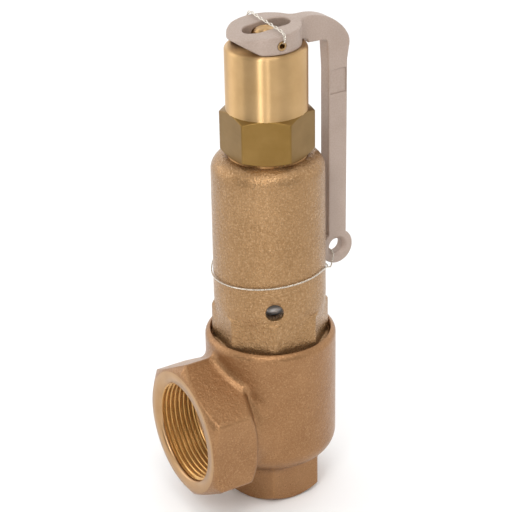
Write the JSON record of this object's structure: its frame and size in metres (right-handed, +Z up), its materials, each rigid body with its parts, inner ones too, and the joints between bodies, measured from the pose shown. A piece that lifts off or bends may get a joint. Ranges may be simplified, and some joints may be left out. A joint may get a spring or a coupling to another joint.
{
  "type": "pressure relief valve",
  "caption": "Angle-pattern pressure relief valve: female threaded inlet below, larger female outlet at the side, vented spring bonnet, hexagon cap and a hanging lifting lever with a seal eye.",
  "frame": {"origin": "middle of the inlet face, on the valve axis", "axes": "+Z up along the valve axis, -X out of the outlet, +X towards the lever arm, Y across"},
  "size_m": [0.0907, 0.06, 0.2292],
  "materials": {
    "bronze_cast": "sand-cast, matte with a fine grain",
    "brass_turned": "turned, satin",
    "lever_cast": "matte",
    "spring_steel": "satin",
    "seal_wire": "bright drawn wire",
    "gasket": "matte fibre",
    "seal_ptfe": "matte"
  },
  "bodies": {
    "housing": {"body": "bronze_cast", "bonnet": "bronze_cast", "bonnet_gasket": "gasket", "cap": "brass_turned", "adjusting_screw": "brass_turned", "lock_nut": "brass_turned", "upper_spring_plate": "brass_turned", "disc_guide": "brass_turned", "bonnet_seal_wire": "seal_wire"},
    "stem": {"spring": "spring_steel", "lower_spring_plate": "brass_turned", "spindle": "brass_turned", "thrust_ball": "spring_steel", "disc_holder": "brass_turned", "disc_cross_pin": "spring_steel", "disc_seal": "seal_ptfe", "seal_washer": "brass_turned", "seal_screw": "spring_steel"},
    "lever": {"lever": "lever_cast", "lever_pin": "brass_turned", "pin_seal_wire": "seal_wire", "eye_seal_wire": "seal_wire"}
  },
  "joints": [
    {"name": "stem_lift", "type": "slide", "parent": "housing", "child": "stem", "axis": [0, 0, 1], "range_m": [0, 0.0034], "stiffness_N_per_m": 400, "springref_m": -0.01, "deforming": ["spring"]},
    {"name": "lever_pivot", "type": "hinge", "parent": "stem", "child": "lever", "pos_m": [-0.0016, 0, 0.2224], "axis": [0, -1, 0], "range_deg": [0, 22]}
  ],
  "couplings": [
    {"joint": "stem_lift", "follows": "lever_pivot", "m_per_rad": 0.0076}
  ]
}
